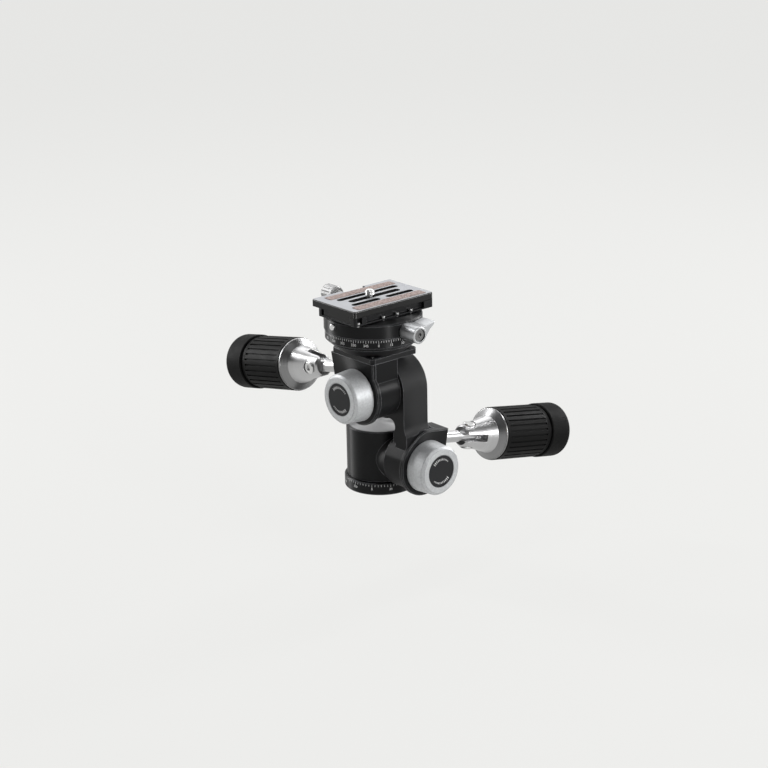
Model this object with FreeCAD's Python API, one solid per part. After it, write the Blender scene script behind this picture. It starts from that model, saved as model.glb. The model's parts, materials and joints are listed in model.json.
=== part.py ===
import FreeCAD, Part
import math
import os

# Geared three-axis tripod head, in mm.  Z is up and the origin is the centre of
# the base's underside.  The lower tilt axis B runs along +X from the base.  The
# upper tilt axis A runs along -Y from the arm.  Each tilt axis carries the same
# worm unit, drawn once in unit axes: u = +X out of the seam, h = +Y toward the
# handle, z up, and then placed on A or B.

V = FreeCAD.Vector
ORIGIN = V(0, 0, 0)
X = V(1, 0, 0)
Y = V(0, 1, 0)
Z = V(0, 0, 1)

# fits and gaps
RUN = 0.04            # radial running fit
FACE_GAP = 0.1        # between faces that slide on each other
SEAM = 0.3            # open seam between turning housings

# base
THREAD_R = 4.7625     # 3/8 inch tripod thread
INSERT_R = 7.0
INSERT_TOP = 14.0
FLANGE_R = 25.0
FLANGE_H = 8.4
HUB_R = 9.5
BASE_R = 23.2
BASE_BORE_R = 19.6
BASE_TOP = 44.9
WEB_Z0 = 10.4
WEB_Z1 = 16.6
RETAINER_H = 2.4
CAP_R = 21.4
CAP_H = 2.5
BOSS_R = 17.2
LOCK_ANGLE = 135.0
LOCK_Z = 13.5
LOCK_R = 8.5

# tilt axes
AXIS_B_Z = 25.5
SEAM_B_X = 25.0
AXIS_A_X = 20.3
AXIS_A_Z = 78.0
SEAM_A_Y = -14.3

# worm unit
UNIT_R = 21.2         # front plate
BARREL_R = 19.2
BARREL_L = 19.0
UNIT_L = 22.0
CAVITY_R = 13.2
CAVITY_U0 = 6.0
CENTRES = 16.0        # worm axis to wheel axis
DROOP = 11.0          # worm axis below the level, degrees
WHEEL_U = 12.5
WHEEL_W = 7.0
TEETH = 36
WORM_PITCH_R = 4.6
ADDENDUM = 0.55
DEDENDUM = 0.72
FLANK_GAP = 0.13      # between one worm flank and one tooth flank
PRESSURE = 20.0
THREAD_TURNS = 5
WORM_R = 4.1          # shaft
TAIL_R = 2.6
TAIL_END = -8.9
TAIL_BUSH_R = 3.6
CORE_S0 = -5.9        # worm core, between the two bushes
CORE_S1 = 6.7
CHANNEL_R = 5.5
BLOCK_RIM_ANGLE = 40.2  # where the block's back leaves the front plate's rim
BLOCK_SHOULDER = (-6.5, 23.65)
BLOCK_TOP = 24.8
BLOCK_LOW = 9.5
BLOCK_END_A = 22.0
BLOCK_END_B = 17.0
TOP_A = 24.0          # flat top of the upper unit above axis A
SIDE_A = 16.2         # its flat side beyond axis A

# axles
AXLE_ROOT_R = 6.2
AXLE_ROOT_L = 12.3
JOURNAL_R = 8.0
JOURNAL_END = 8.8
BUSH_R = 9.6
SEAT_R = 5.5
SEAT_END = 17.3
WASHER_T = 1.2
STUD_R = 4.0
STUD_END = 30.0

# friction knobs
KNOB_R = 17.9
KNOB_FRONT_R = 16.9   # the grip tapers a little toward the front
KNOB_RIM_R = 15.3
KNOB_END = 37.6
KNOB_HUB_R = 9.8
DISC_R = 11.2
DISC_T = 1.0

# handles, measured along the worm from the end of its block
PIN_OUT = 28.0
EAR_BACK = 6.6
TONGUE_BACK = 10.2
RING_OUT = 49.7
TONGUE_T = 4.8
SLOT_W = 5.1
PIN_R = 2.2
PIN_HEAD_R = 4.3
EAR_FLAT = 7.4        # flats on the fork, under the pin's heads
FORK_END = 9.5        # fork slot past the pin
TONGUE_END = 5.0      # worm's tongue past the pin
CONE_R = 13.0         # cone where the steep band starts
CONE_RIM_R = 18.2
CORE_R = 10.0
SLEEVE_R = 18.6
SLEEVE_L = 42.3
RIBS = 30
RIB_DEPTH = 0.9
END_CAP_R = 19.2
END_CAP_S0 = 44.3
HANDLE_L = 63.5

# arm
ARM_R = 21.4
ARM_T = 21.3
NECK_X = 32.5
FOOT_FLARE_Z0 = 47.9  # the web's foot flares out between these heights
FOOT_FLARE_Z1 = 54.4
BACK_FILLET = 6.0
HEEL = 1.8
ARM_CAP_R = 13.0
ARM_CAP_T = 2.0

# platform
PAN_X = 15.0
PAN_Y = -16.7
TOP_PLATE_T = 4.0
TOP_PLATE_OVER = 4.0  # reach of the top plate past the arm's back
TOP_PLATE_LEFT = 26.6  # its left edge from axis A
NECK_TOP = 113.1
NECK_R0 = 22.5
NECK_R1 = 29.5
SCALE_R = 32.4
SCALE_Z0 = 113.4
DISC_Z0 = 120.4
PLATFORM_R = 33.0
DISC_TOP = 130.2
POST_R = 9.0
RETAINER_Z0 = 126.9   # under the head that holds the platform down
LEVER_Z = 124.1
LEVER_R = 5.7
LEVER_L = 14.0
LEVER_SCREW_R = 3.7
WING = [(0, 5.7), (6, 5.2), (14, 6.8), (13.5, 5.8), (9, 2.5), (5.2, -2.3), (0, 0)]
BUTTON_Z = 126.6

# quick-release clamp and camera plate
PLATE_W = 44.5
PLATE_L = 68.5
PLATE_T = 4.7
PLATE_TOP = 141.6
CLAMP_X0 = -0.75      # left side, inside the plate's overhang
FOOT_TOP = (11.5, 31.0)
FOOT_BASE = (9.5, 33.0)
FOOT_Z = 132.9
JAW_TRAVEL = 1.8
WALL_X = 3.0
CLAMP_Z = 134.3       # clamp screw
CLAMP_SCREW_R = 1.3
CLAMP_KNOB_R = 5.8
CLAMP_KNOB_OUT = 14.5 # knob's inner face past the plate's edge
CLAMP_LOW = 131.5     # underside past the round pad
PAD_R = 21.0
LEDGE_TOP = 132.3
LEDGE_W = 2.9
LEDGE_SCREW_X = 35.8
LEDGE_SHANK_R = 0.8
SCREW_R = 3.175       # 1/4 inch camera thread
SCREW_X = 16.2
SCREW_Y = -20.2
SCREW_NECK_TOP = 1.0  # bare neck above the plate
SCREW_UP = 5.1
SLOT_NECK_R = 2.0


def cyl(r, start, axis, length):
    return Part.makeCylinder(r, length, V(*start), axis)


def box(x0, x1, y0, y1, z0, z1):
    return Part.makeBox(x1 - x0, y1 - y0, z1 - z0, V(x0, y0, z0))


def turned(points, axis):
    """Solid of revolution of (along, radius) points about an axis through the origin."""
    across = X if axis is not X else Z
    corners = [axis * a + across * r for a, r in points]
    face = Part.Face(Part.makePolygon(corners + corners[:1]))
    return face.revolve(ORIGIN, axis, 360)


def prism(points, direction):
    """Straight solid from a polygon of vectors."""
    return Part.Face(Part.makePolygon(points + points[:1])).extrude(direction)


def moved(shape, x, y, z):
    out = shape.copy()
    out.translate(V(x, y, z))
    return out


def spun(shape, centre, axis, angle):
    out = shape.copy()
    out.rotate(centre, axis, angle)
    return out


def fuse(first, *others):
    out = first
    for other in others:
        out = out.fuse(other)
    return out.removeSplitter()


def cut(first, *others):
    out = first
    for other in others:
        out = out.cut(other)
    return out


def group(shapes):
    return Part.makeCompound(shapes)


def round_edges(shape, radius, picks):
    edges = [e for e in shape.Edges if picks(e)]
    return shape.makeFillet(radius, edges)


def chamfer_edges(shape, size, picks):
    edges = [e for e in shape.Edges if picks(e)]
    return shape.makeChamfer(size, edges)


def upright(edge):
    ends = [v.Point for v in edge.Vertexes]
    return len(ends) == 2 and (ends[1] - ends[0]).cross(Z).Length < 1e-6


def save(name, shape):
    solids = shape.Solids
    out = solids[0] if len(solids) == 1 else group(solids)
    out.exportStep("parts/" + name + ".step")


# placing the worm unit


def on_worm(shape):
    """From worm axes (worm along +Y through the origin) to unit axes."""
    out = spun(shape, ORIGIN, X, -DROOP)
    droop = math.radians(DROOP)
    return moved(out, WHEEL_U, CENTRES * math.sin(droop), CENTRES * math.cos(droop))


def place_b(shape):
    return moved(shape, SEAM_B_X, 0, AXIS_B_Z)


def place_a(shape):
    out = shape.mirror(ORIGIN, Y)
    return moved(spun(out, ORIGIN, Z, -90), AXIS_A_X, SEAM_A_Y, AXIS_A_Z)


# worm and wheel


def pitch():
    return 2 * math.pi * (CENTRES - WORM_PITCH_R) / TEETH


def flank_half(height, half):
    """Half width of a rack-shaped thread at a height above its pitch line."""
    return half - height * math.tan(math.radians(PRESSURE))


def worm_thread():
    """Single-start thread about the Y axis, centred on the wheel's mid-plane."""
    half = pitch() / 4 - FLANK_GAP / 2
    root_r = WORM_PITCH_R - DEDENDUM - 0.3
    tip_r = WORM_PITCH_R + ADDENDUM
    root = flank_half(root_r - WORM_PITCH_R, half)
    tip = flank_half(ADDENDUM, half)
    length = THREAD_TURNS * pitch()
    helix = Part.makeHelix(pitch(), length, WORM_PITCH_R)
    corners = [V(root_r, 0, -root), V(tip_r, 0, -tip), V(tip_r, 0, tip), V(root_r, 0, root)]
    profile = Part.makePolygon(corners + corners[:1])
    thread = Part.Wire(helix).makePipeShell([profile], True, True)
    thread.translate(V(0, 0, -length / 2))
    thread = spun(thread, ORIGIN, Z, -90)
    return spun(thread, ORIGIN, X, -90)


def wheel_gap():
    """Space between two teeth at the top of a wheel about the X axis."""
    half = pitch() / 4 + FLANK_GAP / 2
    pitch_r = CENTRES - WORM_PITCH_R
    top = 1.2
    points = []
    for height, side in ((-DEDENDUM, -1), (top, -1), (top, 1), (-DEDENDUM, 1)):
        width = flank_half(-height, half)
        points.append(V(-WHEEL_W, side * width, pitch_r + height))
    gap = prism(points, X * (2 * WHEEL_W))
    lead = math.degrees(math.atan(pitch() / (2 * math.pi * WORM_PITCH_R)))
    return spun(gap, ORIGIN, Z, -lead)


def worm_wheel():
    tip_r = CENTRES - WORM_PITCH_R + ADDENDUM
    half = WHEEL_W / 2
    rim = tip_r - 0.9
    blank = turned([(-half, SEAT_R + RUN), (half, SEAT_R + RUN), (half, rim), (half - 0.9, tip_r),
                    (0.9 - half, tip_r), (-half, rim)], X)
    gap = spun(wheel_gap(), ORIGIN, X, -DROOP)
    gaps = [spun(gap, ORIGIN, X, i * 360 / TEETH) for i in range(TEETH)]
    return moved(blank.cut(group(gaps)), WHEEL_U, 0, 0)


def worm(end, pin_turn):
    """Worm shaft with its tail, thread, round shaft and flat tongue."""
    pin_s = end + PIN_OUT
    core = WORM_PITCH_R - DEDENDUM
    shoulder = pin_s - TONGUE_BACK
    rod = turned([(TAIL_END, 0), (TAIL_END, TAIL_R), (CORE_S0, TAIL_R), (CORE_S0, core), (CORE_S1, core),
                  (CORE_S1, WORM_R), (shoulder, WORM_R), (shoulder, 0)], Y)
    tongue = cyl(WORM_R, (0, shoulder, 0), Y, pin_s + TONGUE_END - shoulder)
    tongue = tongue.common(box(-TONGUE_T / 2, TONGUE_T / 2, shoulder, pin_s + TONGUE_END, -5, 5))
    tongue = cut(tongue, cyl(PIN_R + RUN, (-5, pin_s, 0), X, 10))
    tongue = spun(tongue, ORIGIN, Y, pin_turn)
    return on_worm(fuse(rod, worm_thread(), tongue))


def worm_bushes(end):
    low = TAIL_END + 0.2
    high = CORE_S0 - FACE_GAP
    start = CORE_S1 + 0.4
    tail = turned([(low, TAIL_R + RUN), (high, TAIL_R + RUN), (high, TAIL_BUSH_R), (low, TAIL_BUSH_R)], Y)
    front = turned([(start, WORM_R + RUN), (end, WORM_R + RUN), (end, CHANNEL_R), (start, CHANNEL_R)], Y)
    return on_worm(group([tail, front]))


# housings


def worm_point(s, n):
    """Point in unit axes at s along the worm and n up from the wheel's axis."""
    droop = math.radians(DROOP)
    return V(0, s * math.cos(droop) + n * math.sin(droop), n * math.cos(droop) - s * math.sin(droop))


def block_outline(end):
    """Tilted block around the worm, with a back that runs down to the rim."""
    rim = math.radians(BLOCK_RIM_ANGLE)
    return [ORIGIN, worm_point(-UNIT_R * math.sin(rim), UNIT_R * math.cos(rim)), worm_point(*BLOCK_SHOULDER),
            worm_point(end, BLOCK_TOP), worm_point(end, BLOCK_LOW)]


def head_outline():
    """Flat side, flat top and slanted worm end of the upper unit."""
    droop = math.radians(DROOP)
    top = (TOP_A + BLOCK_END_A * math.sin(droop)) / math.cos(droop)
    return [ORIGIN, V(0, -SIDE_A, 0), V(0, -SIDE_A, TOP_A), worm_point(BLOCK_END_A, top),
            worm_point(BLOCK_END_A, BLOCK_LOW)]


def slab(outline, u0, u1):
    return prism([p + X * u0 for p in outline], X * (u1 - u0))


def worm_block(u0, u1):
    """Lower unit's block, rounded where its top turns down to the rim."""
    corner = worm_point(*BLOCK_SHOULDER)
    body = slab(block_outline(BLOCK_END_B), u0, u1)
    return round_edges(body, 13.0, lambda e: (e.CenterOfMass - corner).cross(X).Length < 0.01)


def unit_hollow(end):
    """Wheel chamber, worm channel and rear bush seat."""
    chamber = cyl(CAVITY_R, (CAVITY_U0, 0, 0), X, BARREL_L - CAVITY_U0)
    seat = cyl(BUSH_R, (0, 0, 0), X, CAVITY_U0)
    low = CORE_S0 - FACE_GAP
    channel = on_worm(cyl(CHANNEL_R, (0, low, 0), Y, end + 5.0 - low))
    tail = on_worm(cyl(TAIL_BUSH_R, (0, TAIL_END - 0.2, 0), Y, low - TAIL_END + 0.3))
    return group([chamber, seat, channel, tail])


def front_plate(body, flat_top):
    """Front plate with a softened rim, but for a flat top that another part covers."""
    plate = fuse(body, cyl(UNIT_R, (BARREL_L + FACE_GAP, 0, 0), X, UNIT_L - BARREL_L - FACE_GAP))
    front = UNIT_L - 0.01
    plate = chamfer_edges(plate, 0.7, lambda e: e.CenterOfMass.x > front and e.CenterOfMass.z < flat_top)
    plate = cut(plate, cyl(KNOB_HUB_R + 0.3, (0, 0, 0), X, UNIT_L + 1))
    return cut(plate, group([screw_hole(p) for p in screw_points()]))


def screw_points():
    spots = []
    for angle in (5, 175, 235, 305):
        turn = math.radians(angle)
        spots.append((14.9 * math.cos(turn), 14.9 * math.sin(turn)))
    return spots


def screw_hole(point):
    h, z = point
    shank = cyl(1.25, (BARREL_L - 5, h, z), X, UNIT_L)
    head = cyl(2.3, (UNIT_L - 2.2, h, z), X, 5)
    return fuse(shank, head)


def plate_screws():
    """Four cap screws that hold the front plate to its housing."""
    screws = []
    for h, z in screw_points():
        head = cyl(2.2, (UNIT_L - 2.2, h, z), X, 1.8)
        shank = cyl(1.25, (BARREL_L - 4.5, h, z), X, UNIT_L - 2.2 - BARREL_L + 4.5)
        socket = cyl(1.1, (UNIT_L - 1.5, h, z), X, 2)
        screws.append(cut(fuse(head, shank), socket))
    return group(screws)


def shank_holes():
    return group([cyl(1.25, (BARREL_L - 5, h, z), X, 6) for h, z in screw_points()])


def head_housing():
    body = cyl(BARREL_R, (SEAM, 0, 0), X, BARREL_L - SEAM)
    body = fuse(body, slab(head_outline(), SEAM, BARREL_L))
    return cut(body, unit_hollow(BLOCK_END_A), shank_holes())


def front_plate_a():
    body = slab(head_outline(), BARREL_L + FACE_GAP, UNIT_L)
    return front_plate(body, TOP_A - 0.5)


def front_plate_b():
    return front_plate(worm_block(BARREL_L + FACE_GAP, UNIT_L), BLOCK_TOP * 2)


# axle, bush, washer and knob of one unit


def axle():
    return turned([(-AXLE_ROOT_L, 0), (-AXLE_ROOT_L, AXLE_ROOT_R - 0.5), (0.5 - AXLE_ROOT_L, AXLE_ROOT_R),
                   (0, AXLE_ROOT_R), (0, JOURNAL_R), (JOURNAL_END, JOURNAL_R), (JOURNAL_END, SEAT_R),
                   (SEAT_END, SEAT_R), (SEAT_END, STUD_R), (STUD_END, STUD_R), (STUD_END, 0)], X)


def axle_bush():
    return turned([(SEAM + 0.1, JOURNAL_R + RUN), (CAVITY_U0, JOURNAL_R + RUN),
                   (CAVITY_U0, BUSH_R), (SEAM + 0.1, BUSH_R)], X)


def clutch_washer():
    start = WHEEL_U + WHEEL_W / 2 + 0.05
    end = start + WASHER_T
    return turned([(start, SEAT_R + RUN), (end, SEAT_R + RUN), (end, 10.2), (start, 10.2)], X)


def friction_knob():
    hub = SEAT_END + 0.4
    back = UNIT_L + SEAM
    return turned([(hub, STUD_R + RUN), (hub, KNOB_HUB_R), (back, KNOB_HUB_R), (back, KNOB_R - 0.6),
                   (back + 0.6, KNOB_R), (KNOB_END - 1.8, KNOB_FRONT_R), (KNOB_END, KNOB_RIM_R),
                   (KNOB_END, DISC_R), (KNOB_END - DISC_T - 0.2, DISC_R),
                   (KNOB_END - DISC_T - 0.2, DISC_R - 2), (STUD_END + 1, DISC_R - 2),
                   (STUD_END + 1, STUD_R + RUN)], X)


def knob_disc():
    back = KNOB_END - DISC_T - 0.2
    return turned([(back, 0), (back, DISC_R), (back + DISC_T, DISC_R), (back + DISC_T, 0)], X)


# handle, in worm axes


def handle_cone(end, pin_turn):
    """Forked cone with the core that carries the grip."""
    pin_s = end + PIN_OUT
    ring = end + RING_OUT
    start = pin_s - EAR_BACK
    body = turned([(start, 0), (start, 6.4), (start + 1.2, 7.6), (pin_s + 2, 9.0), (ring - 4.2, CONE_R),
                   (ring - 0.9, CONE_RIM_R - 0.5), (ring - 0.9, CONE_RIM_R), (ring, CONE_RIM_R),
                   (ring, CORE_R), (ring + END_CAP_S0 + 6, CORE_R), (ring + END_CAP_S0 + 6, 0)], Y)
    slot = box(-SLOT_W / 2, SLOT_W / 2, start - 1, pin_s + FORK_END, -20, 20)
    hole = cyl(PIN_R, (-20, pin_s, 0), X, 40)
    seats = group([cyl(PIN_HEAD_R + 0.5, (-20, pin_s, 0), X, 20 - EAR_FLAT),
                   cyl(PIN_HEAD_R + 0.5, (EAR_FLAT, pin_s, 0), X, 20 - EAR_FLAT)])
    body = cut(body, slot, hole, seats)
    return on_worm(spun(body, ORIGIN, Y, pin_turn))


def handle_pin(end, pin_turn):
    pin_s = end + PIN_OUT
    out = EAR_FLAT + 1.6
    pin = turned([(-out, 0), (-out, PIN_HEAD_R - 0.5), (0.5 - out, PIN_HEAD_R), (-EAR_FLAT, PIN_HEAD_R),
                  (-EAR_FLAT, PIN_R), (EAR_FLAT, PIN_R), (EAR_FLAT, PIN_HEAD_R), (out - 0.5, PIN_HEAD_R),
                  (out, PIN_HEAD_R - 0.5), (out, 0)], X)
    pin = moved(pin, 0, pin_s, 0)
    socket = cyl(2.0, (out - 1.0, pin_s, 0), X, 2)
    return on_worm(spun(cut(pin, socket), ORIGIN, Y, pin_turn))


def grip_sleeve(end):
    ring = end + RING_OUT
    start = ring
    body = turned([(start, CORE_R), (start, SLEEVE_R - 0.5), (start + 0.5, SLEEVE_R),
                   (ring + SLEEVE_L - 3.0, SLEEVE_R), (ring + SLEEVE_L - 1.0, SLEEVE_R - 0.7),
                   (ring + SLEEVE_L + 1.2, SLEEVE_R - 0.7), (ring + SLEEVE_L + 1.2, CORE_R)], Y)
    groove = box(-0.6, 0.6, ring + 3.0, ring + SLEEVE_L - 3.0, SLEEVE_R - RIB_DEPTH, SLEEVE_R + 1)
    grooves = [spun(groove, ORIGIN, Y, i * 360 / RIBS) for i in range(RIBS)]
    return on_worm(body.cut(group(grooves)))


def grip_cap(end):
    start = end + RING_OUT + END_CAP_S0
    stop = end + RING_OUT + HANDLE_L
    body = cyl(END_CAP_R, (0, start, 0), Y, stop - start)
    body = round_edges(body, 4.5, lambda e: abs(e.CenterOfMass.y - stop) < 1e-3)
    body = chamfer_edges(body, 0.6, lambda e: abs(e.CenterOfMass.y - start) < 1e-3)
    core = cyl(CORE_R, (0, start, 0), Y, 6.0)
    dish = turned([(stop - 0.8, 0), (stop - 0.8, 11.5), (stop, 12.3), (stop + 1, 12.3), (stop + 1, 0)], Y)
    return on_worm(cut(body, core, dish))


# base group


def base_flange():
    body = turned([(0, INSERT_R), (0, FLANGE_R - 0.6), (0.6, FLANGE_R), (FLANGE_H - 0.5, FLANGE_R),
                   (FLANGE_H, FLANGE_R - 0.5), (FLANGE_H, HUB_R), (WEB_Z1 + FACE_GAP, HUB_R),
                   (WEB_Z1 + FACE_GAP, INSERT_R)], Z)
    return body


def thread_insert():
    return turned([(0, THREAD_R), (INSERT_TOP, THREAD_R), (INSERT_TOP, INSERT_R), (0, INSERT_R)], Z)


def pan_washer():
    low = FLANGE_H + FACE_GAP
    high = FLANGE_H + 0.4
    return turned([(low, 14), (high, 14), (high, 22), (low, 22)], Z)


def retainer_z():
    return WEB_Z1 + FACE_GAP


def pan_retainer():
    low = retainer_z()
    high = low + RETAINER_H
    ring = turned([(low, 5.0), (low, 11.0), (high, 11.0), (high, 5.0)], Z)
    holes = [cyl(1.0, (8.25 * math.cos(a), 8.25 * math.sin(a), low - 1), Z, 6) for a in retainer_angles()]
    return cut(ring, group(holes))


def retainer_angles():
    return [math.radians(60 + 120 * i) for i in range(3)]


def retainer_screws():
    screws = []
    top = retainer_z() + RETAINER_H
    for angle in retainer_angles():
        x = 8.25 * math.cos(angle)
        y = 8.25 * math.sin(angle)
        shank = cyl(1.0, (x, y, top - 5.0), Z, 5.0)
        screws.append(fuse(shank, cyl(1.9, (x, y, top), Z, 1.4)))
    return group(screws)


def retainer_screw_holes():
    top = retainer_z() + RETAINER_H
    return group([cyl(1.0, (8.25 * math.cos(a), 8.25 * math.sin(a), top - 5.5), Z, 6)
                  for a in retainer_angles()])


def radial(shape):
    """From the lock's own axes (screw along +X) to its place on the base."""
    return moved(spun(shape, ORIGIN, Z, LOCK_ANGLE), 0, 0, LOCK_Z)


def lock_pad():
    return radial(turned([(HUB_R + 0.2, 0), (HUB_R + 0.2, 2.4), (11.9, 2.4), (11.9, 0)], X))


def lock_screw():
    """Clamping screw that presses the pad against the hub."""
    end = lock_x() + 8.4
    return radial(turned([(12.0, 0), (12.0, 2.0), (12.6, 2.5), (end, 2.5), (end, 0)], X))


def lock_x():
    """Inner face of the lock knob, clear of the flange."""
    return FLANGE_R + 0.6


def lock_knob():
    """Fluted knob on the clamping screw."""
    x = lock_x()
    body = turned([(x, 2.5), (x, LOCK_R - 1.5), (x + 2.4, LOCK_R - 1), (x + 3.4, LOCK_R), (x + 13.9, LOCK_R),
                   (x + 15.4, LOCK_R - 1.5), (x + 15.4, 0), (x + 8.4, 0), (x + 8.4, 2.5)], X)
    flutes = []
    for i in range(12):
        groove = cyl(1.3, (x + 3.9, 0, LOCK_R + 0.6), X, 14)
        flutes.append(spun(groove, ORIGIN, X, i * 30))
    return radial(body.cut(group(flutes)))


def base_housing():
    body = cyl(BASE_R, (0, 0, FLANGE_H + 0.4), Z, BASE_TOP - FLANGE_H - 0.4)
    body = chamfer_edges(body, 0.5, lambda e: len(e.Vertexes) == 1)
    boss = turned([(0, 0), (0, BOSS_R), (SEAM_B_X - 0.7, BOSS_R), (SEAM_B_X, BOSS_R - 0.7), (SEAM_B_X, 0)], X)
    boss = moved(boss, 0, 0, AXIS_B_Z)
    boss = boss.common(box(10, 40, -40, 40, FLANGE_H + 0.4, 60))
    body = fuse(body, boss)
    hollow = cyl(BASE_BORE_R, (0, 0, WEB_Z1), Z, BASE_TOP)
    inner = cyl(8.3, (11.6, 0, AXIS_B_Z), X, 12)
    wall = cyl(BOSS_R, (14.5, 0, AXIS_B_Z), X, 10).common(box(14.5, 30, -40, 40, WEB_Z1 + 0.001, 60))
    hollow = cut(hollow, inner, wall)
    body = cut(body, hollow)
    body = cut(body, cyl(HUB_R + RUN, (0, 0, 0), Z, WEB_Z1 + 1))
    body = cut(body, cyl(14.0, (0, 0, 0), Z, WEB_Z0))
    body = cut(body, cyl(CAP_R, (0, 0, BASE_TOP - CAP_H), Z, 5))
    body = cut(body, cyl(AXLE_ROOT_R, (0, 0, AXIS_B_Z), X, 30))
    body = cut(body, radial(cyl(2.5, (9, 0, 0), X, 20)))
    return body


def base_cap():
    body = cyl(CAP_R, (0, 0, BASE_TOP - CAP_H), Z, CAP_H)
    return chamfer_edges(body, 0.3, lambda e: e.CenterOfMass.z > BASE_TOP - 0.01)


# arm


def arm_web():
    """Web below the arm's head, with its foot flared outward, backward and inward."""
    back = SEAM_A_Y + ARM_T
    right = AXIS_A_X + ARM_R
    front = SEAM_B_X + BARREL_L
    web = box(NECK_X, right, SEAM_A_Y, back, AXIS_B_Z + 10, FOOT_FLARE_Z1 + 1)
    out = front - right
    radius = (out ** 2 + (FOOT_FLARE_Z1 - FOOT_FLARE_Z0) ** 2) / (2 * out)
    toe = box(right - 1, front, SEAM_A_Y, back, AXIS_B_Z + 12, FOOT_FLARE_Z1)
    toe = cut(toe, cyl(radius, (right + radius, SEAM_A_Y - 1, FOOT_FLARE_Z1), Y, ARM_T + 2))
    fillet_top = AXIS_B_Z + 22.7 + BACK_FILLET
    rear = box(NECK_X, right, back - 1, back + BACK_FILLET, AXIS_B_Z + 18, fillet_top)
    rear = cut(rear, cyl(BACK_FILLET, (NECK_X - 1, back + BACK_FILLET, fillet_top), X, 20))
    return fuse(web, toe, rear, arm_heel())


def arm_heel():
    """Small step on the arm's inner face, above the barrel."""
    low = AXIS_B_Z + 16
    section = [V(NECK_X + 1, SEAM_A_Y, low), V(NECK_X + 1, SEAM_A_Y, low + 10), V(NECK_X, SEAM_A_Y, low + 10),
               V(NECK_X - HEEL, SEAM_A_Y, low + 6), V(NECK_X - HEEL, SEAM_A_Y, low)]
    return prism(section, Y * ARM_T)


def arm():
    back = SEAM_A_Y + ARM_T
    head = cyl(ARM_R, (AXIS_A_X, SEAM_A_Y, AXIS_A_Z), Y, ARM_T)
    body = fuse(head, box(NECK_X, AXIS_A_X + ARM_R, SEAM_A_Y, back, FOOT_FLARE_Z0, AXIS_A_Z))
    body = round_edges(body, 5.0, lambda e: abs(e.CenterOfMass.x - NECK_X) < 0.1 and not upright(e)
                       and e.CenterOfMass.z > FOOT_FLARE_Z1 + 1)
    barrel = turned([(SEAM, 0), (SEAM, BARREL_R - 0.5), (SEAM + 0.5, BARREL_R), (BARREL_L, BARREL_R),
                     (BARREL_L, 0)], X)
    lower = fuse(barrel, worm_block(4.4, BARREL_L))
    body = fuse(body, arm_web(), place_b(lower))
    body = cut(body, place_b(unit_hollow(BLOCK_END_B)), place_b(shank_holes()))
    body = cut(body, cyl(AXLE_ROOT_R, (AXIS_A_X, -30, AXIS_A_Z), Y, 60))
    body = cut(body, cyl(ARM_CAP_R, (AXIS_A_X, back - ARM_CAP_T, AXIS_A_Z), Y, 5))
    return body


def arm_cap():
    back = SEAM_A_Y + ARM_T
    start = back - ARM_CAP_T
    body = cyl(ARM_CAP_R, (AXIS_A_X, start, AXIS_A_Z), Y, ARM_CAP_T + 0.6)
    return chamfer_edges(body, 0.5, lambda e: e.CenterOfMass.y > back)


# platform


def top_z():
    return AXIS_A_Z + TOP_A


def top_plate():
    left = AXIS_A_X - TOP_PLATE_LEFT
    right = AXIS_A_X + SIDE_A
    front = SEAM_A_Y - UNIT_L
    back = SEAM_A_Y + ARM_T - 7 + TOP_PLATE_OVER
    body = box(left, right, front, back, top_z(), top_z() + TOP_PLATE_T)
    body = chamfer_edges(body, 2.5, upright)
    top = top_z() + TOP_PLATE_T
    body = chamfer_edges(body, 0.6, lambda e: e.CenterOfMass.z > top - 0.01)
    return cut(body, group([cyl(1.6, (x, y, top_z() - 1), Z, 9) for x, y in top_screw_points()]))


def top_screw_points():
    return [(4.0, -31.4), (31.0, -31.4), (4.0, -18.4), (31.0, -18.4)]


def top_screws():
    screws = []
    low = top_z() - 4.0
    for x, y in top_screw_points():
        screws.append(cyl(1.6, (x, y, low), Z, TOP_PLATE_T + 3.8))
    return group(screws)


def top_screw_holes():
    return group([cyl(1.6, (x, y, top_z() - 4.5), Z, 6) for x, y in top_screw_points()])


def neck_cone():
    low = top_z() + TOP_PLATE_T
    post_top = RETAINER_Z0 - 0.1
    body = turned([(low, 0), (low, NECK_R0), (NECK_TOP - 1.2, NECK_R1), (NECK_TOP, NECK_R1),
                   (NECK_TOP, POST_R), (post_top, POST_R), (post_top, 0)], Z)
    return moved(body, PAN_X, PAN_Y, 0).cut(post_screw_hole())


def post_screw_hole():
    return cyl(2.0, (PAN_X, PAN_Y, RETAINER_Z0 - 9), Z, 20)


def scale_ring():
    top = DISC_Z0 - 0.05
    body = turned([(SCALE_Z0 + FACE_GAP, POST_R + RUN), (SCALE_Z0 + FACE_GAP, SCALE_R - 1.0),
                   (SCALE_Z0 + 1.1, SCALE_R), (top - 0.4, SCALE_R), (top, SCALE_R - 0.4),
                   (top, POST_R + RUN)], Z)
    return moved(body, PAN_X, PAN_Y, 0)


def pan_disc():
    floor = RETAINER_Z0 - 0.2
    body = turned([(DISC_Z0, POST_R + RUN), (DISC_Z0, PLATFORM_R - 0.5), (DISC_Z0 + 0.5, PLATFORM_R),
                   (DISC_TOP - 0.8, PLATFORM_R), (DISC_TOP, PLATFORM_R - 0.8), (DISC_TOP, 13.5),
                   (floor, 13.5), (floor, POST_R + RUN)], Z)
    body = moved(body, PAN_X, PAN_Y, 0)
    lever_bore = cyl(2.5 + RUN, (PAN_X + 8, PAN_Y, LEVER_Z), X, 40)
    body = cut(body, lever_bore, button_well(), clamp_screw_holes())
    return body


def button_well():
    """Stepped well for the release button and its spring."""
    y0 = PAN_Y - PLATFORM_R
    return fuse(cyl(2.2 + RUN, (PAN_X - 1.4, y0 - 1, BUTTON_Z), Y, 5),
                cyl(3.0, (PAN_X - 1.4, y0 + 2, BUTTON_Z), Y, 7.6))


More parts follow.
